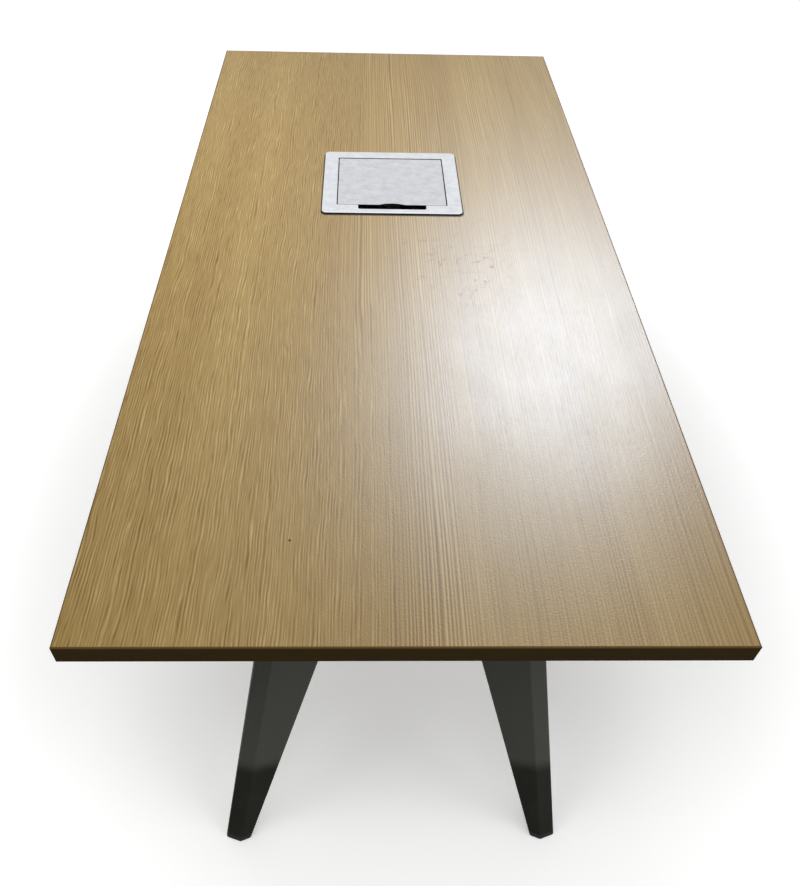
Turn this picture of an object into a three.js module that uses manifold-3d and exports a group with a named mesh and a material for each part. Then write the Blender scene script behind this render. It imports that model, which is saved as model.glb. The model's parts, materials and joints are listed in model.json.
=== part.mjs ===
// A conference table: a wood-grain top on four folded steel legs, with a flip-lid wire box let into the top.
// Millimetres. The origin is on the floor under the middle of the top, +X across, +Y along, +Z up.
// The front is the -Y end, and the wire box is on the rear half of the centre line.

import * as THREE from 'three';
import { mergeVertices } from 'three/addons/utils/BufferGeometryUtils.js';
import Module from 'manifold-3d';

const wasm = await Module();
wasm.setup();

// Table top
const TABLE_HEIGHT = 750;
const TOP_LENGTH = 1800;
const TOP_WIDTH = 900;
const TOP_THICKNESS = 36;
const BAND_THICKNESS = 2;
const BAND_ARRIS = 1.2;

// Fits shared by all pieces
const CLEARANCE = 0.3;
const BOLT_CLEARANCE = 0.5;
const LEAST_CORNER = 0.5;

// Steel frame under the top
const BEAM_WIDTH = 70;
const BEAM_HEIGHT = 40;
const RAIL_WIDTH = 40;
const TUBE_WALL = 2;
const TUBE_CORNER = 4;
const RAIL_TO_TRAY = 21.5;
const BRACKET_LENGTH = 48;
const BRACKET_HEIGHT = 30;
const BRACKET_THICKNESS = 4;
const BRACKET_BEND = 5;
const END_CAP_FLANGE = 3;
const END_CAP_PLUG = 16;
const END_CAP_WALL = 4;

// Bolts and screws
const BOLT_DIAMETER = 8;
const BOLT_HEAD_DIAMETER = 13;
const BOLT_HEAD_HEIGHT = 5;
const BOLT_SOCKET = 5;
const BOLT_SOCKET_DEPTH = 3;
const BOLT_REACH = 8;
const BOLT_CHAMFER = 1;
const SCREW_DIAMETER = 6;
const SCREW_BITE = 22;

// Folded legs: a ridge down the end face parts a narrow outer face from a wide inner one
const FOOT_INSET = 2;
const HEAD_INSET = 98;
const FOOT_RIDGE_X = 283;
const HEAD_RIDGE_X = 174;
const FOOT_OUTER_FACE = 27;
const HEAD_OUTER_FACE = 26;
const FOOT_INNER_FACE = 19;
const HEAD_INNER_FACE = 90;
const FOOT_DEPTH = 26;
const HEAD_DEPTH = 56;
const OUTER_FACE_TURN = 18;
const INNER_FACE_TURN = 20;
const LEG_WALL = 2;
const LEG_BEND = 5;
const LEG_PLATE = 6;
const LEG_PLATE_CORNER = 8;
const LEG_TO_BOLT = 15;
const BOLT_TO_EDGE = 13;

// Feet
const CAP_LIFT = 2;
const CAP_HEIGHT = 14;
const CAP_PLUG = 30;
const GLIDE_DIAMETER = 19;
const GLIDE_PAD = 4;
const GLIDE_CHAMFER = 1;
const STUD_DIAMETER = 8;
const STUD_LENGTH = 28;

// Wire box: frame
const BOX_Y = 207;
const OPENING_WIDTH = 238;
const OPENING_DEPTH = 197;
const OPENING_CORNER = 3;
const SLOT_WIDTH = 146;
const SLOT_DEPTH = 16;
const SLOT_CORNER = 5;
const SIDE_ROOM = 20;
const SLOT_TO_COLLAR = 1.5;
const COLLAR_WALL = 2.5;
const COLLAR_DEPTH = 24;
const COLLAR_CORNER = 6;
const CUTOUT_CLEARANCE = 0.5;
const FLANGE_OVERLAP = 8;
const FLANGE_HEIGHT = 4.5;
const FLANGE_ROUND = 2.4;
const FLANGE_CORNER = 10;
const LIP_WALL = 2.5;
const LEDGE_WIDTH = 5;
const LEDGE_THICKNESS = 3;
const CHEEK_WALL = 4;
const CHEEK_HALF_LENGTH = 8;
const CHEEK_BELOW_PIN = 7;

// Wire box: lid and hinge
const LID_THICKNESS = 5;
const LID_RECESS = 0.5;
const LID_GAP = 1.8;
const LID_ROUND = 1.2;
const LID_CORNER = 3;
const NOTCH_WIDTH = 57;
const NOTCH_DEPTH = 5.5;
const PIN_INSET = 5.5;
const PIN_DIAMETER = 4;
const PIN_CHAMFER = 0.5;
const PIN_CLEARANCE = 0.2;
const LUG_LENGTH = 9;
const LUG_RADIUS = 4.5;
const LUG_TO_EDGE = 1;
const LEDGE_TO_PIN = 12;

// Wire box: tray, socket block and grommet
const TRAY_DEPTH = 75;
const TRAY_SHEET = 1.5;
const TRAY_FLANGE = 22;
const TRAY_BEND = 5;
const BLOCK_WIDTH = 250;
const BLOCK_DEPTH = 110;
const BLOCK_FRONT = 20;
const BLOCK_FACE = 84;
const BLOCK_TILT = 25;
const OUTLET_COUNT = 3;
const OUTLET_PITCH = 76;
const OUTLET_SIZE = 50;
const OUTLET_CORNER = 5;
const OUTLET_DEPTH = 8;
const OUTLET_PROUD = 2;
const PIN_SLOT_LENGTH = 7.5;
const PIN_SLOT_WIDTH = 2.2;
const PIN_SLOT_CORNER = 0.5;
const PIN_SLOT_DEPTH = 6;
const PIN_SLOT_RADIUS = 8;
const PIN_SLOT_TURNS = [-30, 30, 180];
const GROMMET_BORE = 40;
const GROMMET_NECK = 46;
const GROMMET_FLANGE = 54;
const GROMMET_LIP = 2;
const GROMMET_Y = -62;

// Facets
const HEX_SIDES = 6;
const BOLT_SIDES = 12;
const ROUND_SIDES = 16;
const ARC_STEPS = 2;
const BEND_STEPS = 3;
const ROUND_STEPS = 2;
const CUT_MARGIN = 5;

const ENDS = { front: -1, rear: 1 };
const SIDES = { left: -1, right: 1 };

// Heights and places that follow from the sizes above
const undersideZ = TABLE_HEIGHT - TOP_THICKNESS;
const beamBottomZ = undersideZ - BEAM_HEIGHT;
const beamMiddleZ = undersideZ - BEAM_HEIGHT / 2;
const legTopZ = beamBottomZ - LEG_PLATE;
const capTopZ = CAP_LIFT + CAP_HEIGHT;
const beamY = TOP_LENGTH / 2 - HEAD_INSET - HEAD_DEPTH / 2;
const beamInnerY = beamY - BEAM_WIDTH / 2;
const innerBoltX = HEAD_RIDGE_X - HEAD_INNER_FACE - LEG_TO_BOLT;
const outerBoltX = HEAD_RIDGE_X + HEAD_OUTER_FACE + LEG_TO_BOLT;
const topScrewX = (innerBoltX - BOLT_TO_EDGE) / 2;

const collarRoomY = SLOT_DEPTH + SLOT_TO_COLLAR;
const cutoutWidth = OPENING_WIDTH + 2 * (SIDE_ROOM + COLLAR_WALL + CUTOUT_CLEARANCE);
const cutoutDepth = OPENING_DEPTH + 2 * (collarRoomY + COLLAR_WALL + CUTOUT_CLEARANCE);
const lidTopZ = FLANGE_HEIGHT - LID_RECESS;
const lidBottomZ = lidTopZ - LID_THICKNESS;
const ledgeTopZ = lidBottomZ - CLEARANCE;
const lidHalfWidth = OPENING_WIDTH / 2 - LID_GAP;
const lidHalfDepth = OPENING_DEPTH / 2 - LID_GAP;
const pinY = lidHalfDepth - PIN_INSET;
const pinZ = lidBottomZ;
const trayOuterX = cutoutWidth / 2 + TRAY_SHEET;
const railX = trayOuterX + RAIL_TO_TRAY + RAIL_WIDTH / 2;
const railInnerX = railX - RAIL_WIDTH / 2;
const bracketBoltX = railInnerX - (BRACKET_LENGTH + BRACKET_THICKNESS) / 2;
const bracketBoltY = beamInnerY - (BRACKET_LENGTH + BRACKET_THICKNESS) / 2;
const beamFittingX = Math.max(outerBoltX + BOLT_TO_EDGE, railX + RAIL_WIDTH / 2);
const beamHalfLength = beamFittingX + END_CAP_PLUG;
const trayFloorZ = -TOP_THICKNESS - TRAY_DEPTH + TRAY_SHEET;

// Materials
const material = (color, roughness, metalness) => () =>
  new THREE.MeshStandardMaterial({ color, roughness, metalness });
const oakLaminate = material(0xb09264, 0.42, 0);
const darkBand = material(0x2d2214, 0.5, 0);
const graphitePaint = material(0x3c3c38, 0.45, 0.4);
const zincSteel = material(0x8f9296, 0.4, 0.9);
const satinAluminium = material(0xdfe1e4, 0.38, 0.8);
const brushedAluminium = material(0xd2d4d6, 0.42, 0.8);
const blackPlastic = material(0x151515, 0.55, 0);
const blackSheet = material(0x1d1d1e, 0.5, 0.3);
const paleSocket = material(0xd8d8d4, 0.3, 0);
const blackRubber = material(0x101010, 0.8, 0);

// Solids: three.js geometry in, joined or cut, and back to geometry
function solid(geometry) {
  const bare = geometry.clone();
  bare.deleteAttribute('normal');
  bare.deleteAttribute('uv');
  const welded = mergeVertices(bare);
  const corners = welded.index.array;
  const triangles = [];
  for (let i = 0; i < corners.length; i += 3) {
    const [a, b, c] = corners.slice(i, i + 3);
    if (a !== b && b !== c && c !== a) {
      triangles.push(a, b, c);
    }
  }
  return new wasm.Manifold(new wasm.Mesh({
    numProp: 3,
    vertProperties: Float32Array.from(welded.attributes.position.array),
    triVerts: Uint32Array.from(triangles),
  }));
}

function geometryOf(body) {
  const { vertProperties, triVerts } = body.getMesh();
  const geometry = new THREE.BufferGeometry();
  geometry.setAttribute('position', new THREE.BufferAttribute(vertProperties, 3));
  geometry.setIndex(new THREE.BufferAttribute(triVerts, 1));
  geometry.computeVertexNormals();
  return geometry;
}

const join = (...geometries) => geometries.map(solid).reduce((whole, next) => whole.add(next));
const cut = (body, ...geometries) => geometries.map(solid).reduce((rest, tool) => rest.subtract(tool), body);

// Outlines and simple forms
function roundedRectangle(width, height, radius, centreX = 0, centreY = 0) {
  const x = width / 2 - radius;
  const y = height / 2 - radius;
  const quarter = Math.PI / 2;
  const shape = new THREE.Shape();
  shape.absarc(centreX + x, centreY - y, radius, -quarter, 0);
  shape.absarc(centreX + x, centreY + y, radius, 0, quarter);
  shape.absarc(centreX - x, centreY + y, radius, quarter, 2 * quarter);
  shape.absarc(centreX - x, centreY - y, radius, 2 * quarter, 3 * quarter);
  shape.closePath();
  return shape;
}

function prism(shape, low, high) {
  const options = { depth: high - low, bevelEnabled: false, curveSegments: ARC_STEPS };
  return new THREE.ExtrudeGeometry(shape, options).translate(0, 0, low);
}

// A plate with both faces' edges rounded, its outline no larger than the shape
function roundedPlate(shape, low, high, radius) {
  const options = {
    depth: high - low - 2 * radius,
    bevelThickness: radius,
    bevelSize: radius,
    bevelOffset: -radius,
    bevelSegments: ROUND_STEPS,
    curveSegments: ARC_STEPS,
  };
  return new THREE.ExtrudeGeometry(shape, options).translate(0, 0, low + radius);
}

function block(low, high) {
  const size = high.map((value, axis) => value - low[axis]);
  const middle = high.map((value, axis) => (value + low[axis]) / 2);
  return new THREE.BoxGeometry(...size).translate(...middle);
}

// A section drawn as (y, z), run along x between two ends
function alongX(shape, from, to) {
  const turn = new THREE.Matrix4().makeBasis(
    new THREE.Vector3(0, 1, 0),
    new THREE.Vector3(0, 0, 1),
    new THREE.Vector3(1, 0, 0),
  );
  return prism(shape, from, to).applyMatrix4(turn);
}

// A section drawn as (x, z), run along y, centred
function alongY(shape, length) {
  const turn = new THREE.Matrix4().makeBasis(
    new THREE.Vector3(1, 0, 0),
    new THREE.Vector3(0, 0, 1),
    new THREE.Vector3(0, -1, 0),
  );
  return prism(shape, -length / 2, length / 2).applyMatrix4(turn);
}

function rod(diameter, low, high, sides = BOLT_SIDES) {
  const length = high - low;
  const geometry = new THREE.CylinderGeometry(diameter / 2, diameter / 2, length, sides);
  return geometry.rotateX(Math.PI / 2).translate(0, 0, (low + high) / 2);
}

const rodAlongX = (diameter, low, high) => rod(diameter, low, high).rotateY(Math.PI / 2);
const rodAlongY = (diameter, low, high) => rod(diameter, -high, -low).rotateX(Math.PI / 2);

// A profile of (radius, height) pairs turned about the z axis
function revolve(profile, sides = ROUND_SIDES) {
  const points = profile.map(([radius, height]) => new THREE.Vector2(radius, height));
  return new THREE.LatheGeometry(points, sides).rotateX(Math.PI / 2);
}

const innerCorner = (corner, wall) => Math.max(corner - wall, LEAST_CORNER);

function tube(width, height) {
  const section = roundedRectangle(width, height, TUBE_CORNER);
  section.holes.push(
    roundedRectangle(width - 2 * TUBE_WALL, height - 2 * TUBE_WALL, innerCorner(TUBE_CORNER, TUBE_WALL)),
  );
  return section;
}

function counterClockwise(points) {
  return THREE.ShapeUtils.isClockWise(points) ? points.slice().reverse() : points;
}

// A closed body between two outlines with as many points each
function loft(lower, upper, lowZ, highZ) {
  const count = lower.length;
  const positions = [
    ...lower.flatMap((point) => [point.x, point.y, lowZ]),
    ...upper.flatMap((point) => [point.x, point.y, highZ]),
  ];
  const index = [];
  lower.forEach((_, i) => {
    const j = (i + 1) % count;
    index.push(i, j, count + j, i, count + j, count + i);
  });
  for (const [a, b, c] of THREE.ShapeUtils.triangulateShape(lower, [])) {
    index.push(c, b, a, count + a, count + b, count + c);
  }
  const geometry = new THREE.BufferGeometry();
  geometry.setAttribute('position', new THREE.Float32BufferAttribute(positions, 3));
  geometry.setIndex(index);
  return geometry;
}

// A convex outline moved inwards by a distance
function inset(corners, distance) {
  const edges = corners.map((corner, i) => {
    const along = corners[(i + 1) % corners.length].clone().sub(corner).normalize();
    const inward = new THREE.Vector2(-along.y, along.x);
    return { start: corner.clone().addScaledVector(inward, distance), along };
  });
  return edges.map((edge, i) => {
    const before = edges.at(i - 1);
    const gap = edge.start.clone().sub(before.start);
    const reach = gap.cross(edge.along) / before.along.cross(edge.along);
    return before.start.clone().addScaledVector(before.along, reach);
  });
}

// The same corners with a bend of the given radius at each
function bend(corners, radius) {
  return corners.flatMap((corner, i) => {
    const before = corners.at(i - 1).clone().sub(corner).normalize();
    const after = corners[(i + 1) % corners.length].clone().sub(corner).normalize();
    const reach = radius / Math.tan(Math.acos(before.dot(after)) / 2);
    const arc = new THREE.QuadraticBezierCurve(
      corner.clone().addScaledVector(before, reach),
      corner,
      corner.clone().addScaledVector(after, reach),
    );
    return arc.getPoints(BEND_STEPS);
  });
}

// The model
const table = new THREE.Group();

function place(parent, name, geometry, finish, position = [0, 0, 0]) {
  const mesh = new THREE.Mesh(geometry, finish());
  mesh.name = name;
  mesh.position.set(...position);
  parent.add(mesh);
  return mesh;
}

// A socket-head bolt that points up: its head hangs below z = 0
function bolt(diameter, length) {
  const radius = diameter / 2;
  const headRadius = BOLT_HEAD_DIAMETER / 2;
  const turned = revolve(
    [
      [0, -BOLT_HEAD_HEIGHT],
      [headRadius - BOLT_CHAMFER, -BOLT_HEAD_HEIGHT],
      [headRadius, -BOLT_HEAD_HEIGHT + BOLT_CHAMFER],
      [headRadius, 0],
      [radius, 0],
      [radius, length],
      [0, length],
    ],
    BOLT_SIDES,
  );
  const acrossCorners = BOLT_SOCKET / Math.cos(Math.PI / HEX_SIDES);
  const socketLow = -BOLT_HEAD_HEIGHT - CUT_MARGIN;
  const socketHigh = -BOLT_HEAD_HEIGHT + BOLT_SOCKET_DEPTH;
  return geometryOf(cut(solid(turned), rod(acrossCorners, socketLow, socketHigh, HEX_SIDES)));
}

// Table top and its edge bands
function addTop() {
  const halfWidth = TOP_WIDTH / 2 - BAND_THICKNESS;
  const halfLength = TOP_LENGTH / 2 - BAND_THICKNESS;
  const board = block([-halfWidth, -halfLength, 0], [halfWidth, halfLength, TOP_THICKNESS]);
  const cutout = roundedRectangle(cutoutWidth, cutoutDepth, COLLAR_CORNER, 0, BOX_Y);
  const screwHoles = Object.values(ENDS).flatMap((end) =>
    Object.values(SIDES).map((side) =>
      rod(SCREW_DIAMETER + 2 * CLEARANCE, -CUT_MARGIN, SCREW_BITE + CLEARANCE)
        .translate(side * topScrewX, end * beamY, 0),
    ),
  );
  const body = cut(
    solid(board),
    prism(cutout, -CUT_MARGIN, TOP_THICKNESS + CUT_MARGIN),
    ...screwHoles,
  );
  place(table, 'table_top', geometryOf(body), oakLaminate, [0, 0, undersideZ]);
}

function bandSection(outward) {
  const half = TOP_THICKNESS / 2;
  const quarter = Math.PI / 2;
  const outer = BAND_THICKNESS - BAND_ARRIS;
  const section = new THREE.Shape();
  section.moveTo(0, -half);
  section.absarc(outer, -half + BAND_ARRIS, BAND_ARRIS, -quarter, 0);
  section.absarc(outer, half - BAND_ARRIS, BAND_ARRIS, 0, quarter);
  section.lineTo(0, half);
  const points = section.getPoints(ARC_STEPS).map(({ x, y }) => new THREE.Vector2(outward * x, y));
  return new THREE.Shape(counterClockwise(points));
}

function addBands() {
  const middleZ = TABLE_HEIGHT - TOP_THICKNESS / 2;
  for (const [end, sign] of Object.entries(ENDS)) {
    const geometry = alongX(bandSection(sign), -TOP_WIDTH / 2, TOP_WIDTH / 2);
    const y = sign * (TOP_LENGTH / 2 - BAND_THICKNESS);
    place(table, `edge_band_${end}`, geometry, darkBand, [0, y, middleZ]);
  }
  for (const [side, sign] of Object.entries(SIDES)) {
    const geometry = alongY(bandSection(sign), TOP_LENGTH - 2 * BAND_THICKNESS);
    const x = sign * (TOP_WIDTH / 2 - BAND_THICKNESS);
    place(table, `edge_band_${side}`, geometry, darkBand, [x, 0, middleZ]);
  }
}

// Cross beams: tubes along x, with holes for the leg bolts, the bracket bolts and the screws into the top
function addBeam(end, sign) {
  const through = [-BEAM_HEIGHT / 2 - CUT_MARGIN, BEAM_HEIGHT / 2 + CUT_MARGIN];
  const lowerWall = [-BEAM_HEIGHT / 2 - CUT_MARGIN, 0];
  const innerWall = [0, BEAM_WIDTH / 2 + CUT_MARGIN];
  const holes = Object.values(SIDES).flatMap((side) => [
    rod(SCREW_DIAMETER + 2 * CLEARANCE, ...through).translate(side * topScrewX, 0, 0),
    rod(BOLT_DIAMETER + 2 * CLEARANCE, ...lowerWall).translate(side * innerBoltX, 0, 0),
    rod(BOLT_DIAMETER + 2 * CLEARANCE, ...lowerWall).translate(side * outerBoltX, 0, 0),
    rodAlongY(BOLT_DIAMETER + 2 * CLEARANCE, ...innerWall).translate(side * bracketBoltX, 0, 0),
  ]);
  const facing = holes.map((hole) => (sign > 0 ? hole.rotateZ(Math.PI) : hole));
  const body = cut(solid(alongX(tube(BEAM_WIDTH, BEAM_HEIGHT), -beamHalfLength, beamHalfLength)), ...facing);
  place(table, `cross_beam_${end}`, geometryOf(body), graphitePaint, [0, sign * beamY, beamMiddleZ]);
  for (const [side, outward] of Object.entries(SIDES)) {
    addEndCap(`beam_cap_${end}_${side}`, outward, [outward * beamHalfLength, sign * beamY, beamMiddleZ]);
  }
}

function addEndCap(name, outward, position) {
  const section = (wall) =>
    roundedRectangle(BEAM_WIDTH - 2 * wall, BEAM_HEIGHT - 2 * wall, innerCorner(TUBE_CORNER, wall));
  const fit = TUBE_WALL + CLEARANCE;
  const flange = alongX(section(0), 0, END_CAP_FLANGE);
  const plug = alongX(section(fit), -END_CAP_PLUG, END_CAP_FLANGE / 2);
  const hollow = alongX(section(fit + END_CAP_WALL), -END_CAP_PLUG - CUT_MARGIN, 0);
  const geometry = geometryOf(cut(join(flange, plug), hollow));
  const mesh = place(table, name, geometry, blackPlastic, position);
  mesh.rotation.z = outward > 0 ? 0 : Math.PI;
}

// Rails: tubes along y between the beams, bolted to them through angle brackets in the inner corners
function addRail(side, sign) {
  const holes = Object.values(ENDS).map((end) =>
    rodAlongX(BOLT_DIAMETER + 2 * CLEARANCE, 0, RAIL_WIDTH / 2 + CUT_MARGIN)
      .rotateZ(sign > 0 ? Math.PI : 0)
      .translate(0, end * bracketBoltY, 0),
  );
  const body = cut(solid(alongY(tube(RAIL_WIDTH, BEAM_HEIGHT), 2 * beamInnerY)), ...holes);
  place(table, `rail_${side}`, geometryOf(body), graphitePaint, [sign * railX, 0, beamMiddleZ]);
}

function addBracket(end, endSign, side, sideSign) {
  const corners = [
    [0, 0],
    [BRACKET_LENGTH, 0],
    [BRACKET_LENGTH, BRACKET_THICKNESS],
    [BRACKET_THICKNESS + BRACKET_BEND, BRACKET_THICKNESS],
    [BRACKET_THICKNESS, BRACKET_THICKNESS + BRACKET_BEND],
    [BRACKET_THICKNESS, BRACKET_LENGTH],
    [0, BRACKET_LENGTH],
  ].map(([x, y]) => new THREE.Vector2(-sideSign * x, -endSign * y));
  const angle = prism(new THREE.Shape(counterClockwise(corners)), -BRACKET_HEIGHT / 2, BRACKET_HEIGHT / 2);
  const hole = BOLT_DIAMETER + 2 * BOLT_CLEARANCE;
  const reach = BRACKET_THICKNESS + CUT_MARGIN;
  const middle = (BRACKET_LENGTH + BRACKET_THICKNESS) / 2;
  const body = cut(
    solid(angle),
    rodAlongY(hole, -reach, reach).translate(-sideSign * middle, 0, 0),
    rodAlongX(hole, -reach, reach).translate(0, -endSign * middle, 0),
  );
  const corner = [sideSign * railInnerX, endSign * beamInnerY, beamMiddleZ];
  place(table, `rail_bracket_${end}_${side}`, geometryOf(body), zincSteel, corner);

  const name = `bracket_bolt_${end}_${side}`;
  const shank = BRACKET_THICKNESS + TUBE_WALL + BOLT_REACH;
  const seatX = sideSign * (railInnerX - BRACKET_THICKNESS - CLEARANCE);
  const seatY = endSign * (beamInnerY - BRACKET_THICKNESS - CLEARANCE);
  const beamSeat = [sideSign * bracketBoltX, seatY, beamMiddleZ];
  const railSeat = [seatX, endSign * bracketBoltY, beamMiddleZ];
  const toBeam = place(table, `${name}_beam`, bolt(BOLT_DIAMETER, shank), zincSteel, beamSeat);
  toBeam.rotation.x = -endSign * Math.PI / 2;
  const toRail = place(table, `${name}_rail`, bolt(BOLT_DIAMETER, shank), zincSteel, railSeat);
  toRail.rotation.y = sideSign * Math.PI / 2;
}

function addTopScrews(end, sign) {
  for (const [side, outward] of Object.entries(SIDES)) {
    const geometry = bolt(SCREW_DIAMETER, BEAM_HEIGHT + SCREW_BITE);
    const seat = [outward * topScrewX, sign * beamY, beamBottomZ];
    place(table, `top_screw_${end}_${side}`, geometry, zincSteel, seat);
  }
}

// Legs: the section at a height, for the right rear leg, as corners counter-clockwise from the ridge
function legCorners(z) {
  const mix = (foot, head) => THREE.MathUtils.lerp(foot, head, z / legTopZ);
  const ridgeX = mix(FOOT_RIDGE_X, HEAD_RIDGE_X);
  const ridgeY = TOP_LENGTH / 2 - mix(FOOT_INSET, HEAD_INSET);
  const outer = mix(FOOT_OUTER_FACE, HEAD_OUTER_FACE);
  const inner = mix(FOOT_INNER_FACE, HEAD_INNER_FACE);
  const backY = ridgeY - mix(FOOT_DEPTH, HEAD_DEPTH);
  const outerFall = outer * Math.tan(THREE.MathUtils.degToRad(OUTER_FACE_TURN));
  const innerFall = inner * Math.tan(THREE.MathUtils.degToRad(INNER_FACE_TURN));
  return [
    new THREE.Vector2(ridgeX, ridgeY),
    new THREE.Vector2(ridgeX - inner, ridgeY - innerFall),
    new THREE.Vector2(ridgeX - inner, backY),
    new THREE.Vector2(ridgeX + outer, backY),
    new THREE.Vector2(ridgeX + outer, ridgeY - outerFall),
  ];
}

function legOutline(z, wall, sideSign, endSign) {
  const corners = inset(legCorners(z), wall);
  const outline = bend(corners, innerCorner(LEG_BEND, wall));
  return counterClockwise(outline.map((point) => new THREE.Vector2(sideSign * point.x, endSign * point.y)));
}

function legLoft(lowZ, highZ, wall, sideSign, endSign) {
  const lower = legOutline(lowZ, wall, sideSign, endSign);
  const upper = legOutline(highZ, wall, sideSign, endSign);
  return loft(lower, upper, lowZ, highZ);
}

function addLeg(end, endSign, side, sideSign) {
  const signs = [sideSign, endSign];
  const plateWidth = outerBoltX - innerBoltX + 2 * BOLT_TO_EDGE;
  const plateX = sideSign * (outerBoltX + innerBoltX) / 2;
  const plateShape = roundedRectangle(plateWidth, BEAM_WIDTH, LEG_PLATE_CORNER, plateX, endSign * beamY);
  const boltHoles = [innerBoltX, outerBoltX].map((x) =>
    rod(BOLT_DIAMETER + 2 * BOLT_CLEARANCE, legTopZ - CUT_MARGIN, beamBottomZ + CUT_MARGIN)
      .translate(sideSign * x, endSign * beamY, 0),
  );
  const body = cut(
    join(legLoft(capTopZ, legTopZ + LEG_PLATE / 2, 0, ...signs), prism(plateShape, legTopZ, beamBottomZ)),
    legLoft(capTopZ - CUT_MARGIN, legTopZ, LEG_WALL, ...signs),
    ...boltHoles,
  );
  place(table, `leg_${end}_${side}`, geometryOf(body), graphitePaint);

  const shank = LEG_PLATE + TUBE_WALL + BOLT_REACH;
  for (const [name, x] of [['inner', innerBoltX], ['outer', outerBoltX]]) {
    const seat = [sideSign * x, endSign * beamY, legTopZ];
    place(table, `leg_bolt_${end}_${side}_${name}`, bolt(BOLT_DIAMETER, shank), zincSteel, seat);
  }
}

// Feet: a cap plugged into the leg, and a levelling glide screwed into the cap
function glideCentre() {
  const [ridge, innerFront, innerBack, outerBack, outerFront] = legCorners(0);
  const x = (innerBack.x + outerBack.x) / 2;
  const front = x < ridge.x ? innerFront : outerFront;
  const frontY = THREE.MathUtils.mapLinear(x, ridge.x, front.x, ridge.y, front.y);
  return { x, y: (frontY + innerBack.y) / 2 };
}

function addFoot(end, endSign, side, sideSign) {
  const signs = [sideSign, endSign];
  const centre = glideCentre();
  const foot = [sideSign * centre.x, endSign * centre.y, 0];
  const pocketTop = GLIDE_PAD + CLEARANCE;
  const plugTop = capTopZ + CAP_PLUG;
  const body = cut(
    join(
      legLoft(CAP_LIFT, capTopZ, 0, ...signs),
      legLoft(capTopZ - CAP_HEIGHT / 2, plugTop, LEG_WALL + CLEARANCE, ...signs),
    ),
    rod(GLIDE_DIAMETER + 2 * CLEARANCE, -CUT_MARGIN, pocketTop, ROUND_SIDES).translate(...foot),
    rod(STUD_DIAMETER + 2 * CLEARANCE, -CUT_MARGIN, plugTop + CUT_MARGIN).translate(...foot),
  );
  place(table, `foot_cap_${end}_${side}`, geometryOf(body), blackPlastic);

  const radius = GLIDE_DIAMETER / 2;
  const glide = revolve([
    [0, 0],
    [radius - GLIDE_CHAMFER, 0],
    [radius, GLIDE_CHAMFER],
    [radius, GLIDE_PAD],
    [STUD_DIAMETER / 2, GLIDE_PAD],
    [STUD_DIAMETER / 2, GLIDE_PAD + STUD_LENGTH - GLIDE_CHAMFER],
    [STUD_DIAMETER / 2 - GLIDE_CHAMFER, GLIDE_PAD + STUD_LENGTH],
    [0, GLIDE_PAD + STUD_LENGTH],
  ]);
  place(table, `foot_glide_${end}_${side}`, geometryOf(solid(glide)), blackPlastic, foot);
}

// Wire box, in a group whose origin is on the table's surface at the middle of the box
const box = new THREE.Group();
box.position.set(0, BOX_Y, TABLE_HEIGHT);
table.add(box);

function slotShape() {
  const nearY = -OPENING_DEPTH / 2 - SLOT_DEPTH;
  const farY = -OPENING_DEPTH / 2 + LEDGE_WIDTH;
  const half = SLOT_WIDTH / 2;
  const quarter = Math.PI / 2;
  const shape = new THREE.Shape();
  shape.moveTo(half, farY);
  shape.lineTo(-half, farY);
  shape.absarc(-half + SLOT_CORNER, nearY + SLOT_CORNER, SLOT_CORNER, 2 * quarter, 3 * quarter);
  shape.absarc(half - SLOT_CORNER, nearY + SLOT_CORNER, SLOT_CORNER, -quarter, 0);
  shape.closePath();
  return shape;
}

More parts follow.
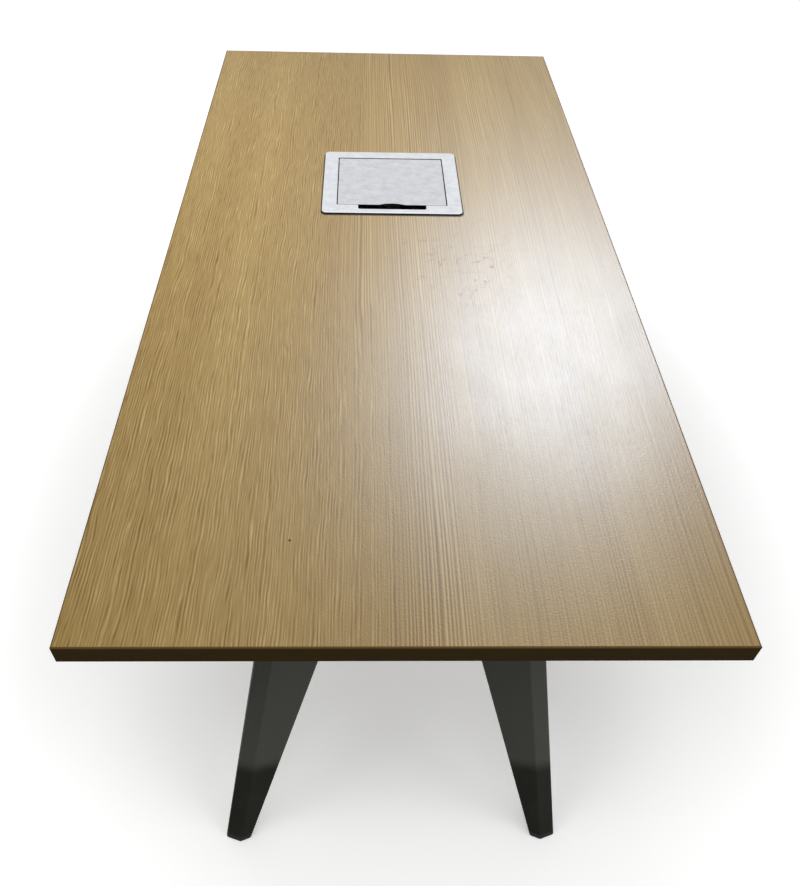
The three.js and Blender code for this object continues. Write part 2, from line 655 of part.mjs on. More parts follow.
// The frame: a rounded flange on the table, a collar down the cut-out, and a lip with a ledge for the lid
function addBezel() {
  const opening = (grow) =>
    roundedRectangle(OPENING_WIDTH + 2 * grow, OPENING_DEPTH + 2 * grow, OPENING_CORNER + Math.max(grow, 0));
  const flangeShape = roundedRectangle(
    cutoutWidth + 2 * FLANGE_OVERLAP,
    cutoutDepth + 2 * FLANGE_OVERLAP,
    FLANGE_CORNER,
  );
  const collarWidth = cutoutWidth - 2 * CUTOUT_CLEARANCE;
  const collarDepth = cutoutDepth - 2 * CUTOUT_CLEARANCE;
  const collar = (wall) =>
    roundedRectangle(collarWidth - 2 * wall, collarDepth - 2 * wall, COLLAR_CORNER - wall);
  const collarShape = collar(0);
  collarShape.holes.push(collar(COLLAR_WALL));
  const ledgeBottomZ = ledgeTopZ - LEDGE_THICKNESS;
  const buried = FLANGE_HEIGHT / 2;
  const pastX = cutoutWidth / 2 + FLANGE_OVERLAP + CUT_MARGIN;
  const pastY = cutoutDepth / 2 + FLANGE_OVERLAP + CUT_MARGIN;
  const sunkZ = -2 * FLANGE_ROUND;
  const flange = cut(
    solid(roundedPlate(flangeShape, sunkZ, FLANGE_HEIGHT, FLANGE_ROUND)),
    block([-pastX, -pastY, sunkZ - CUT_MARGIN], [pastX, pastY, 0]),
  );
  const cheeks = Object.values(SIDES).map((side) => {
    const edges = [side * OPENING_WIDTH / 2, side * (OPENING_WIDTH / 2 + CHEEK_WALL)].sort((a, b) => a - b);
    return block(
      [edges[0], pinY - CHEEK_HALF_LENGTH, pinZ - CHEEK_BELOW_PIN],
      [edges[1], pinY + CHEEK_HALF_LENGTH, buried],
    );
  });
  const frame = join(
    prism(collarShape, -COLLAR_DEPTH, buried),
    prism(opening(LIP_WALL), ledgeBottomZ, buried),
    ...cheeks,
  ).add(flange);
  const high = FLANGE_HEIGHT + CUT_MARGIN;
  const ledgeEndY = pinY - LEDGE_TO_PIN;
  const pinHoleEnd = OPENING_WIDTH / 2 + CHEEK_WALL + CUT_MARGIN;
  const body = cut(
    frame,
    prism(opening(0), ledgeTopZ, high),
    prism(opening(-LEDGE_WIDTH), ledgeBottomZ - CUT_MARGIN, high),
    prism(slotShape(), ledgeBottomZ - CUT_MARGIN, high),
    block(
      [-OPENING_WIDTH / 2, ledgeEndY, ledgeBottomZ - CUT_MARGIN],
      [OPENING_WIDTH / 2, OPENING_DEPTH / 2, high],
    ),
    rodAlongX(PIN_DIAMETER + 2 * PIN_CLEARANCE, -pinHoleEnd, pinHoleEnd).translate(0, pinY, pinZ),
  );
  place(box, 'box_bezel', geometryOf(body), satinAluminium);
}

function lidShape() {
  const x = lidHalfWidth - LID_CORNER;
  const y = lidHalfDepth - LID_CORNER;
  const quarter = Math.PI / 2;
  const notchHalf = NOTCH_WIDTH / 2;
  const notchRadius = (notchHalf ** 2 + NOTCH_DEPTH ** 2) / (2 * NOTCH_DEPTH);
  const notchAngle = Math.asin(notchHalf / notchRadius);
  const notchY = -lidHalfDepth + NOTCH_DEPTH - notchRadius;
  const shape = new THREE.Shape();
  shape.absarc(-x, -y, LID_CORNER, 2 * quarter, 3 * quarter);
  shape.absarc(0, notchY, notchRadius, quarter + notchAngle, quarter - notchAngle, true);
  shape.absarc(x, -y, LID_CORNER, -quarter, 0);
  shape.absarc(x, y, LID_CORNER, 0, quarter);
  shape.absarc(-x, y, LID_CORNER, quarter, 2 * quarter);
  shape.closePath();
  return shape;
}

function lugSection() {
  const shape = new THREE.Shape();
  shape.moveTo(LUG_RADIUS, LID_THICKNESS / 2);
  shape.lineTo(-LUG_RADIUS, LID_THICKNESS / 2);
  shape.absarc(0, 0, LUG_RADIUS, Math.PI, 2 * Math.PI);
  shape.closePath();
  return shape;
}

function addLid() {
  const lugEnd = lidHalfWidth - LUG_TO_EDGE;
  const lugs = Object.values(SIDES).map((side) => {
    const middle = side * (lugEnd - LUG_LENGTH / 2);
    return alongX(lugSection(), -LUG_LENGTH / 2, LUG_LENGTH / 2).translate(middle, pinY, pinZ);
  });
  const pinHoles = Object.values(SIDES).map((side) =>
    rodAlongX(PIN_DIAMETER + 2 * PIN_CLEARANCE, lugEnd - LUG_LENGTH - CLEARANCE, lidHalfWidth + CUT_MARGIN)
      .rotateZ(side > 0 ? 0 : Math.PI)
      .translate(0, pinY, pinZ),
  );
  const body = cut(join(roundedPlate(lidShape(), lidBottomZ, lidTopZ, LID_ROUND), ...lugs), ...pinHoles);
  place(box, 'box_lid', geometryOf(body), brushedAluminium);

  const pinStart = lugEnd - LUG_LENGTH;
  const pinEnd = OPENING_WIDTH / 2 + CHEEK_WALL;
  const pinRadius = PIN_DIAMETER / 2;
  const pin = revolve([
    [0, pinStart],
    [pinRadius - PIN_CHAMFER, pinStart],
    [pinRadius, pinStart + PIN_CHAMFER],
    [pinRadius, pinEnd - PIN_CHAMFER],
    [pinRadius - PIN_CHAMFER, pinEnd],
    [0, pinEnd],
  ], BOLT_SIDES);
  for (const [side, sign] of Object.entries(SIDES)) {
    const mesh = place(box, `lid_pin_${side}`, geometryOf(solid(pin)), zincSteel, [0, pinY, pinZ]);
    mesh.rotation.y = sign * Math.PI / 2;
  }
}

// The tray: a folded sheet tub under the cut-out, hung by its front and rear flanges
function addTray() {
  const outer = roundedRectangle(cutoutWidth + 2 * TRAY_SHEET, cutoutDepth + 2 * TRAY_SHEET, TRAY_BEND);
  const inner = roundedRectangle(cutoutWidth, cutoutDepth, TRAY_BEND - TRAY_SHEET);
  const flange = roundedRectangle(cutoutWidth, cutoutDepth + 2 * (TRAY_SHEET + TRAY_FLANGE), TRAY_BEND);
  const rimZ = -TOP_THICKNESS;
  const exit = rod(GROMMET_NECK, trayFloorZ - CUT_MARGIN, trayFloorZ + CUT_MARGIN, ROUND_SIDES);
  const body = cut(
    join(prism(outer, trayFloorZ - TRAY_SHEET, rimZ), prism(flange, rimZ - TRAY_SHEET, rimZ)),
    prism(inner, trayFloorZ, rimZ + CUT_MARGIN),
    exit.translate(0, GROMMET_Y, 0),
  );
  place(box, 'cable_tray', geometryOf(body), blackSheet);

  const sheetHalf = TRAY_SHEET / 2 + CLEARANCE;
  const lipHalf = sheetHalf + GROMMET_LIP;
  const neck = GROMMET_NECK / 2 - CLEARANCE;
  const grommet = revolve([
    [GROMMET_BORE / 2, -lipHalf],
    [GROMMET_FLANGE / 2, -lipHalf],
    [GROMMET_FLANGE / 2, -sheetHalf],
    [neck, -sheetHalf],
    [neck, sheetHalf],
    [GROMMET_FLANGE / 2, sheetHalf],
    [GROMMET_FLANGE / 2, lipHalf],
    [GROMMET_BORE / 2, lipHalf],
    [GROMMET_BORE / 2, -lipHalf],
  ]);
  const seat = [0, GROMMET_Y, trayFloorZ - TRAY_SHEET / 2];
  place(box, 'tray_grommet', geometryOf(solid(grommet)), blackRubber, seat);
}

// The socket block: a wedge in the rear of the tray whose sloping face carries the outlets
function addSockets() {
  const tilt = THREE.MathUtils.degToRad(BLOCK_TILT);
  const run = BLOCK_FACE * Math.cos(tilt);
  const rise = BLOCK_FACE * Math.sin(tilt);
  const section = new THREE.Shape();
  section.moveTo(0, 0);
  section.lineTo(BLOCK_DEPTH, 0);
  section.lineTo(BLOCK_DEPTH, BLOCK_FRONT + rise);
  section.lineTo(run, BLOCK_FRONT + rise);
  section.lineTo(0, BLOCK_FRONT);
  section.closePath();
  const frontY = cutoutDepth / 2 - CLEARANCE - BLOCK_DEPTH;
  const sunk = OUTLET_DEPTH - OUTLET_PROUD;
  const pocket = prism(
    roundedRectangle(OUTLET_SIZE + 2 * CLEARANCE, OUTLET_SIZE + 2 * CLEARANCE, OUTLET_CORNER),
    -sunk - CLEARANCE,
    CUT_MARGIN,
  );
  const places = Array.from({ length: OUTLET_COUNT }, (_, i) => (i - (OUTLET_COUNT - 1) / 2) * OUTLET_PITCH);
  const pockets = places.map((x) =>
    pocket.clone().rotateX(tilt).translate(x, run / 2, BLOCK_FRONT + rise / 2),
  );
  const body = cut(solid(alongX(section, -BLOCK_WIDTH / 2, BLOCK_WIDTH / 2)), ...pockets);
  const origin = [0, frontY, trayFloorZ];
  place(box, 'socket_block', geometryOf(body), blackPlastic, origin);

  const pinSlots = PIN_SLOT_TURNS.map((turn) => {
    const leaning = Math.abs(turn) < 90 ? turn : 0;
    const angle = THREE.MathUtils.degToRad(turn);
    const opening = roundedRectangle(PIN_SLOT_WIDTH, PIN_SLOT_LENGTH, PIN_SLOT_CORNER);
    return prism(opening, -PIN_SLOT_DEPTH, CUT_MARGIN)
      .rotateZ(THREE.MathUtils.degToRad(leaning))
      .translate(-PIN_SLOT_RADIUS * Math.sin(angle), PIN_SLOT_RADIUS * Math.cos(angle), 0);
  });
  const plate = roundedPlate(
    roundedRectangle(OUTLET_SIZE, OUTLET_SIZE, OUTLET_CORNER),
    -OUTLET_DEPTH,
    0,
    OUTLET_PROUD / 2,
  );
  const outlet = geometryOf(cut(solid(plate), ...pinSlots)).translate(0, 0, OUTLET_PROUD);
  places.forEach((x, i) => {
    const seat = [x, frontY + run / 2, trayFloorZ + BLOCK_FRONT + rise / 2];
    const mesh = place(box, `outlet_${i + 1}`, outlet.clone(), paleSocket, seat);
    mesh.rotation.x = tilt;
  });
}

addTop();
addBands();
for (const [end, endSign] of Object.entries(ENDS)) {
  addBeam(end, endSign);
  addTopScrews(end, endSign);
  for (const [side, sideSign] of Object.entries(SIDES)) {
    addBracket(end, endSign, side, sideSign);
    addLeg(end, endSign, side, sideSign);
    addFoot(end, endSign, side, sideSign);
  }
}
for (const [side, sign] of Object.entries(SIDES)) {
  addRail(side, sign);
}
addBezel();
addLid();
addTray();
addSockets();

export default table;
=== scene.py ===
"""The looks of a conference table: wood-grain top, folded steel legs and a flip-lid wire box.

Metres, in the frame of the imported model: +X across, +Y along the table, +Z up, the floor at z = 0.
"""

import json
import math

import bmesh
import bpy
from mathutils import Color, Matrix, Vector


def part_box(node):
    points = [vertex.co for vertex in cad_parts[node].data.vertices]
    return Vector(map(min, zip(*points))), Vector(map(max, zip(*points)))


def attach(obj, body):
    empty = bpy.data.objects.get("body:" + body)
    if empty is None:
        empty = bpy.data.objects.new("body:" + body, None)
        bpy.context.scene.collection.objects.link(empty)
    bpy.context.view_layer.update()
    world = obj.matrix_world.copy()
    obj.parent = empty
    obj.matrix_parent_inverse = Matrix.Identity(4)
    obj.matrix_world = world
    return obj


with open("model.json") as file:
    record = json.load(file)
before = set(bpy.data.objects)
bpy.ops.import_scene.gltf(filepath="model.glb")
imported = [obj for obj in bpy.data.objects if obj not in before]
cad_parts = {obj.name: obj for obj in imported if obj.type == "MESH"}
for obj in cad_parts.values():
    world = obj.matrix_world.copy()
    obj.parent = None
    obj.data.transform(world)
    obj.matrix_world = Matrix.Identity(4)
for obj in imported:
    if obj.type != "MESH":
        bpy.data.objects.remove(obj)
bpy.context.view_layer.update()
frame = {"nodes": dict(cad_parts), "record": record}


def linear(red, green, blue):
    """A colour given in 8-bit display values, as the linear values that a shader takes."""
    display = Color((red / 255, green / 255, blue / 255))
    return (*display.from_srgb_to_scene_linear(), 1.0)


MM = 0.001
ENDS = ("front", "rear")
SIDES = ("left", "right")
TOP_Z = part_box("table_top")[1].z

# Camera, fitted to the corners and feet of the table in the photograph
IMAGE_WIDTH = 800
IMAGE_HEIGHT = 886
IMAGE_CENTRE = (383.0, 364.7)
FOCAL_PIXELS = 825.5
SENSOR_MM = 36
CAMERA_PLACE = Vector((-0.066, -1.407, 1.724))
CAMERA_PITCH = 43.54
CAMERA_YAW = 2.2
CAMERA_ROLL = -1.99

# Light: an even sky, a row of soft overhead lamps across the room, a fill above the far end,
# a panel on the right, and a window beyond the far end that only shows as a sheen
WHITE = (1.0, 1.0, 1.0, 1.0)
SKY_LEVEL = 0.3
BACKGROUND_LEVEL = 1.0
OVERHEAD_ANGLE = 25
OVERHEAD_TILT = 11
OVERHEAD_LEVELS = {"left": 0.38, "middle": 0.48, "right": 0.38}
OVERHEAD_LEANS = {"left": 33, "middle": 0, "right": -33}
FILL_PLACE = Vector((-0.3, 0.27, 1.9))
FILL_AIM = Vector((-0.25, 0.27, TOP_Z))
FILL_SIZE = (1.3, 1.5)
FILL_POWER = 10.2
WINDOW_PLACE = Vector((0.9, 1.62, 2.75))
WINDOW_AIM = Vector((0.29, -0.3, TOP_Z))
WINDOW_SIZE = (1.25, 0.95)
WINDOW_POWER = 294
WINDOW_COLOUR = (0.7, 0.82, 1.0)
PANEL_PLACE = Vector((2.6, -1.6, 1.3))
PANEL_AIM = Vector((0.2, -0.8, 0.4))
PANEL_SIZE = (1.6, 1.2)
PANEL_POWER = 30

# Stage: a pale floor, lifted to white well away from the table; its smaller lift near the table paints shade
# around it
FLOOR_HALF = 40
FLOOR_MIDDLE = (0.0, 0.0, 0.0)
FLOOR_COLOUR = (0.95, 0.95, 0.95, 1.0)
FLOOR_ROUGHNESS = 1.0
FLOOR_SHADED_LIFT = 0.22
BACKDROP_LIFT = 0.42
LIFT_START = 0.7
LIFT_END = 1.25

# Edges of the solids: welded corners, smooth rounds, and the widths of the softened arrises
WELD_DISTANCE = 0.01 * MM
SMOOTH_ANGLE = 50
BEVEL_ANGLE = 52
BEVEL_STEPS = 2
ARRIS_WIDTHS = {
    "oak_laminate": 0.15 * MM,
    "dark_band": 0.2 * MM,
    "graphite_paint": 0.6 * MM,
    "zinc_steel": 0.3 * MM,
    "satin_aluminium": 0.3 * MM,
    "brushed_aluminium": 0.25 * MM,
    "black_plastic": 0.8 * MM,
    "glide_plastic": 0.4 * MM,
    "black_sheet": 0.4 * MM,
    "socket_plastic": 1.0 * MM,
    "outlet_plastic": 0.3 * MM,
    "black_rubber": 0.6 * MM,
}

# Words in the names of the finishes: a grain counts the features of a noise in a metre along X, Y and Z.
# A swing is the whole way that a value moves, half of it to each side of zero.
# A span is the stretch of one value over which another changes.
# A share is how far one colour gives way to another.

# Figure of the oak: flamed on the left, straight in the middle and calmer towards the right
ZONE_GRAIN = (5.0, 0.8, 1.0)
ZONE_SWING = 500 * MM
FLAMED_FROM = -200 * MM
FLAMED_TO = 50 * MM
CALM_FROM = -50 * MM
CALM_TO = 200 * MM
CALM_LEVEL = 0.36
WANDER_GRAIN = (2.4, 0.55, 1.0)
WANDER_SWING = 60 * MM
JITTER_GRAIN = (75.0, 0.6, 1.0)
JITTER_SWING = 13 * MM
SWAY_GRAIN = (22.0, 8.0, 1.0)
SWAY_SWING = 12 * MM
LIVELY_GRAIN = (42.0, 0.9, 1.0)
LIVELY_SPAN = (0.3, 0.7)
LIVELY_LEAST = 0.4
RING_PITCH = 5.6 * MM
RING_SWING = 0.95
LONG_FIBRE_GRAIN = (430.0, 5.0, 1.0)
LONG_FIBRE_HARSHNESS = 0.6
LONG_FIBRE_SWING = 0.65
STROKE_GRAIN = (140.0, 16.0, 1.0)
STROKE_SPAN = (0.35, 0.65)
STROKE_LEAST = 0.22
FLAME_PITCH = 4.6 * MM
FLAME_SWING = 0.62
SHORT_FIBRE_GRAIN = (560.0, 20.0, 1.0)
SHORT_FIBRE_HARSHNESS = 0.65
SHORT_FIBRE_SWING = 0.95
LEAF_GRAIN = (9.0, 0.4, 1.0)
LEAF_SWING = 0.55
OAK_TONES = (
    (0.05, linear(121, 92, 44)),
    (0.35, linear(150, 121, 66)),
    (0.65, linear(167, 140, 82)),
    (0.95, linear(187, 162, 108)),
)

# Surface of the oak: pores, smears and the fine emboss of the laminate, and the plain back of the board
PORE_GRAIN = (1100.0, 40.0, 1.0)
PORE_SPAN = (0.56, 0.74)
PORE_SHARE = 0.22
PORE_TONE = linear(118, 90, 52)
PORE_RELIEF = 0.06
PORE_DULLNESS = 0.04
SMEAR_GRAIN = (14.0, 9.0, 1.0)
SMEAR_SWING = 0.06
OAK_SPECULAR = 0.2
OAK_ROUGHNESS = 0.37
EMBOSS_GRAIN = (460.0, 400.0, 1.0)
EMBOSS_DEPTH = 0.5 * MM
EMBOSS_STRENGTH = 0.5
UNDERSIDE_SPAN = (-0.6, -0.4)
BACK_GRAIN = 60.0
BACK_TONES = ((0.3, linear(196, 190, 178)), (0.7, linear(206, 200, 188)))

# Marks on the oak: creased scuffs, a speck and a dent, and painted shade along the frame of the wire box
SCUFF_PLACE = Vector((0.12, -0.08, TOP_Z))
SCUFF_REACH = 220 * MM
SCUFF_SHARE = 0.6
SCUFF_DULLNESS = 0.3
SCUFF_TONE = linear(110, 82, 46)
CREASE_GRAIN = (22.0, 30.0, 1.0)
CREASE_SPREAD = 0.022
BREAK_GRAIN = (36.0, 36.0, 1.0)
BREAK_SPAN = (0.46, 0.54)
SPECK_PLACE = Vector((-0.162, -0.74, TOP_Z))
SPECK_RADIUS = 3.2 * MM
SPECK_SPAN = (0.15, 0.45)
SPECK_TONE = linear(58, 38, 20)
DENT_PLACE = Vector((0.412, -0.096, TOP_Z))
DENT_RADIUS = 4 * MM
DENT_SPAN = (0.2, 0.7)
DENT_SHARE = 0.55
DENT_TONE = linear(90, 66, 44)
# Painted shade on the oak around the frame of the wire box, widest at its front
FRAME_SHADE_WIDTH = 4 * MM
FRAME_SHADE_CORE = FRAME_SHADE_WIDTH / 3
FRAME_SHADE_SHIFT = 3.5 * MM
FRAME_SHADE_SHARE = 0.95
FRAME_SHADE_TONE = linear(20, 15, 10)
MARK_AND_SHADE_DULLNESS = 0.5

# Edge band, rubbed here and there, with a painted highlight along its upper arris
BAND_SPECULAR = 0.003
BAND_GRAIN = (30.0, 30.0, 900.0)
BAND_SPAN = (0.2, 0.8)
BAND_TONES = ((0.3, linear(50, 39, 18)), (0.7, linear(61, 49, 26)))
BAND_ROUGHNESS = (0.42, 0.6)
BAND_DEPTH = 0.05 * MM
BAND_STRENGTH = 0.4
BAND_RUB_GRAIN = (5.0, 5.0, 160.0)
BAND_RUB_SPAN = (0.62, 0.75)
BAND_RUB_SHARE = 0.2
BAND_RUB_TONE = linear(78, 62, 38)
# Painted highlight along the band's upper arris
ARRIS_HIGHLIGHT_DEPTH = 4 * MM
ARRIS_HIGHLIGHT_SHARE = 0.8
ARRIS_HIGHLIGHT_TONE = linear(118, 92, 54)

# Powder coat. On the legs it turns darker low down, a painted reflection of shaded floor, at a height that
# rises a little towards the table's ends
PAINT_TONE = linear(72, 73, 67)
PAINT_REFLECTED_SHADE_TONE = linear(35, 35, 30)
PAINT_SPECULAR = 0.003
SHEET_TONE = linear(26, 26, 27)
SHEET_SPECULAR = 0.4
REFLECTION_EDGE_HEIGHT = 235 * MM
REFLECTION_EDGE_BLUR = 26 * MM
REFLECTION_EDGE_REACH = 840 * MM
REFLECTION_EDGE_LEAN = 1.0
CLOUD_GRAIN = (14.0, 14.0, 6.0)
CLOUD_SPAN = (0.35, 0.75)
CLOUD_SHARE = 0.08
CLOUD_TONE = linear(92, 92, 86)
PAINT_RUB_GRAIN = (900.0, 900.0, 18.0)
PAINT_RUB_SPAN = (0.7, 0.78)
PAINT_RUB_SHARE = 0.1
PAINT_RUB_TONE = linear(120, 120, 114)
PAINT_RUB_DULLNESS = 0.12
PAINT_ROUGHNESS = 0.34
PAINT_ROUGHNESS_SWING = 0.16
PEEL_GRAIN = 700.0
PEEL_DEPTH = 0.06 * MM
PEEL_STRENGTH = 0.5

# Aluminium of the wire box: brushed, clouded and scuffed, with a painted highlight on its rim and painted
# shade on its sides below its depth
BEZEL_CORNER = 10 * MM
BEZEL_RIM = 2 * MM
BEZEL_TONE = linear(226, 229, 233)
BEZEL_BRUSH = (90.0, 1400.0, 90.0)
BEZEL_ROUGHNESS = 0.36
BEZEL_SCUFF_SHARE = 0.2
LID_RIM = 0.12 * MM
LID_TONE = linear(213, 215, 219)
LID_BRUSH = (60.0, 900.0, 60.0)
LID_ROUGHNESS = 0.42
LID_SCUFF_SHARE = 0.6
# Painted highlight on the rims of the wire box's frame and lid, and painted shade on their sides below
RIM_BLUR = 0.4 * MM
RIM_HIGHLIGHT_SHARE = 0.8
RIM_HIGHLIGHT_TONE = linear(248, 250, 252)
SIDE_SHADE_TONE = linear(22, 21, 20)
EXPOSED_SPAN = (-0.8, -0.5)
METAL_DARK = 0.84
METAL_LIGHT = 1.12
METAL_STOPS = (0.25, 0.5, 0.75)
METAL_CLOUD_GRAIN = (45.0, 60.0, 45.0)
METAL_CLOUD_ROUGHNESS_SWING = 0.14
BRUSH_SWING = 0.7
BRUSH_ROUGHNESS_SWING = 0.1
BRUSH_DEPTH = 0.02 * MM
BRUSH_STRENGTH = 0.5
METAL_SCUFF_GRAIN = (160.0, 620.0, 160.0)
METAL_SCUFF_SPAN = (0.6, 0.72)
METAL_SCUFF_TONE = linear(168, 170, 174)

# Zinc plate, with a faint spangle
SPANGLE_GRAIN = 320.0
SPANGLE_SPAN = (0.3, 0.7)
SPANGLE_DEPTH = 0.02 * MM
SPANGLE_STRENGTH = 0.4
ZINC_ROUGHNESS = (0.28, 0.46)
ZINC_TONES = (
    (0.3, linear(150, 152, 154)),
    (0.55, linear(176, 178, 178)),
    (0.75, linear(190, 186, 172)),
)

# Moulded plastic and rubber: two tones and two roughnesses, spark-eroded grain and a little bloom
MOULDINGS = {
    "black_plastic": dict(
        dark=linear(8, 8, 8), light=linear(15, 15, 15),
        grain=1500.0, roughness=(0.5, 0.65), specular=0.1),
    "glide_plastic": dict(
        dark=linear(20, 20, 20), light=linear(32, 32, 31),
        grain=1100.0, roughness=(0.36, 0.52), specular=0.4),
    "socket_plastic": dict(
        dark=linear(30, 30, 32), light=linear(44, 44, 46),
        grain=1200.0, roughness=(0.4, 0.55), specular=0.4),
    "outlet_plastic": dict(
        dark=linear(206, 206, 201), light=linear(220, 220, 215),
        grain=600.0, roughness=(0.22, 0.32), specular=0.5),
    "black_rubber": dict(
        dark=linear(18, 18, 18), light=linear(30, 30, 30),
        grain=900.0, roughness=(0.62, 0.8), specular=0.3),
}
SPARK_SPAN = (0.3, 0.7)
SPARK_SWING = 0.4
SPARK_DEPTH = 0.05 * MM
SPARK_STRENGTH = 0.5
BLOOM_GRAIN = 40.0
BLOOM_STOPS = (0.3, 0.7)

# Small screws under the tray flanges and the rails
SCREW_RADIUS = 4 * MM
SCREW_HEIGHT = 2.6 * MM
SCREW_WALL = 0.8 * MM
CROWN_RADIUS = 2.6 * MM
SCREW_SIDES = 24
SCREW_STEPS = 5
RECESS_LENGTH = 4.4 * MM
RECESS_WIDTH = 1.1 * MM
RECESS_DEPTH = 1.6 * MM
RECESS_TAPER = 0.55
RECESS_ARMS = 4
TRAY_SHEET = 1.5 * MM
TRAY_SCREW_INSET = 11 * MM
TRAY_SCREW_X = 90 * MM
RAIL_SCREW_PLACES = (-520 * MM, -120 * MM, 520 * MM)

# Weld beads under the plates on the legs
HEAD_PLATE = 6 * MM
BEAD_DROP = 1 * MM
BEAD_RADIUS = 2.4 * MM
BEAD_RIPPLE = 0.3 * MM
BEAD_PITCH = 4 * MM
BEAD_STEP = 1.3 * MM
BEAD_SIDES = 8


# Node materials

class Finish:
    """One procedural material, built around a Principled BSDF, in metres of the table's own frame."""

    def __init__(self, name, specular=0.5, metallic=0.0):
        self.material = bpy.data.materials.new(name)
        self.material.use_nodes = True
        self.tree = self.material.node_tree
        self.shader = self.tree.nodes["Principled BSDF"]
        self.shader.inputs["Specular IOR Level"].default_value = specular
        self.shader.inputs["Metallic"].default_value = metallic
        self.place = self.node("ShaderNodeTexCoord").outputs["Object"]

    def node(self, kind, **settings):
        made = self.tree.nodes.new(kind)
        for name, value in settings.items():
            setattr(made, name, value)
        return made

    def feed(self, socket, value):
        """Links an output to a socket, or sets the socket to a plain value."""
        if isinstance(value, bpy.types.NodeSocket):
            self.tree.links.new(value, socket)
        else:
            socket.default_value = value

    def noise(self, grain, detail=2.0, harshness=0.5, place=None):
        """Noise of 0 to 1, with a grain for each axis or one for all three.

        Harshness is the weight of its finer detail.
        """
        mapping = self.node("ShaderNodeMapping")
        self.feed(mapping.inputs["Vector"], place or self.place)
        mapping.inputs["Scale"].default_value = grain if isinstance(grain, tuple) else (grain, grain, grain)
        texture = self.node("ShaderNodeTexNoise")
        self.feed(texture.inputs["Vector"], mapping.outputs["Vector"])
        texture.inputs["Scale"].default_value = 1.0
        texture.inputs["Detail"].default_value = detail
        texture.inputs["Roughness"].default_value = harshness
        return texture.outputs["Fac"]

    def math(self, operation, first, second=0.0):
        made = self.node("ShaderNodeMath", operation=operation)
        self.feed(made.inputs[0], first)
        self.feed(made.inputs[1], second)
        return made.outputs["Value"]

    def times(self, first, second):
        return self.math("MULTIPLY", first, second)

    def less(self, first, second):
        return self.math("SUBTRACT", first, second)

    def total(self, *terms):
        whole = terms[0]
        for term in terms[1:]:
            whole = self.math("ADD", whole, term)
        return whole

    def mix(self, share, first, second):
        """A plain value between two others."""
        return self.total(first, self.times(share, self.less(second, first)))

    def swing(self, value, amount):
        """A 0 to 1 value turned into one that swings by half the amount each way about zero."""
        return self.times(self.less(value, 0.5), amount)

    def between(self, value, low, high, start=0.0, end=1.0):
        """Maps low to start and high to end, smoothly, and holds there."""
        made = self.node("ShaderNodeMapRange", interpolation_type="SMOOTHSTEP")
        for socket, number in (("From Min", low), ("From Max", high), ("To Min", start), ("To Max", end)):
            made.inputs[socket].default_value = number
        self.feed(made.inputs["Value"], value)
        return made.outputs["Result"]

    def ramp(self, value, stops):
        made = self.node("ShaderNodeValToRGB")
        elements = made.color_ramp.elements
        while len(elements) < len(stops):
            elements.new(1.0)
        for element, (position, colour) in zip(elements, stops):
            element.position = position
            element.color = colour
        self.feed(made.inputs["Fac"], value)
        return made.outputs["Color"]

    def blend(self, share, first, second):
        """A colour that gives way to another by a share."""
        made = self.node("ShaderNodeMix", data_type="RGBA")
        self.feed(made.inputs["Factor"], share)
        self.feed(made.inputs[6], first)
        self.feed(made.inputs[7], second)
        return made.outputs[2]

    def axis(self, letter, place=None):
        made = self.node("ShaderNodeSeparateXYZ")
        self.feed(made.inputs[0], place or self.place)
        return made.outputs[letter]

    def moved_across(self, shift):
        """The place, moved along X."""
        offset = self.node("ShaderNodeCombineXYZ")
        self.feed(offset.inputs["X"], shift)
        moved = self.node("ShaderNodeVectorMath", operation="ADD")
        self.feed(moved.inputs[0], self.place)
        self.feed(moved.inputs[1], offset.outputs["Vector"])
        return moved.outputs["Vector"]

    def distance(self, place):
        made = self.node("ShaderNodeVectorMath", operation="DISTANCE")
        self.feed(made.inputs[0], self.place)
        made.inputs[1].default_value = place
        return made.outputs["Value"]

    def near(self, place, reach):
        """One at a place, falling to zero at the reach."""
        return self.between(self.distance(place), 0.0, reach, 1.0, 0.0)

    def stripes(self, across, pitch):
        """Even stripes that swing from 0 to 1 and back once in a pitch."""
        wave = self.math("SINE", self.times(across, 2 * math.pi / pitch))
        return self.total(0.5, self.times(wave, 0.5))

    def outside(self, middle, half, corner):
        """How far a place lies outside a rounded rectangle of a middle, half sizes and a corner radius."""
        gaps = []
        for letter, centre, reach in zip("XY", middle, half):
            offset = self.math("ABSOLUTE", self.less(self.axis(letter), centre))
            gap = self.math("MAXIMUM", self.less(offset, reach - corner), 0.0)
            gaps.append(self.math("POWER", gap, 2.0))
        return self.less(self.math("SQRT", self.total(*gaps)), corner)

    def bump(self, height, depth, strength):
        made = self.node("ShaderNodeBump")
        made.inputs["Strength"].default_value = strength
        made.inputs["Distance"].default_value = depth
        self.feed(made.inputs["Height"], height)
        return made.outputs["Normal"]

    def finish(self, colour, roughness, normal=None):
        self.feed(self.shader.inputs["Base Color"], colour)
        self.feed(self.shader.inputs["Roughness"], roughness)
        if normal is not None:
            self.feed(self.shader.inputs["Normal"], normal)
        return self.material


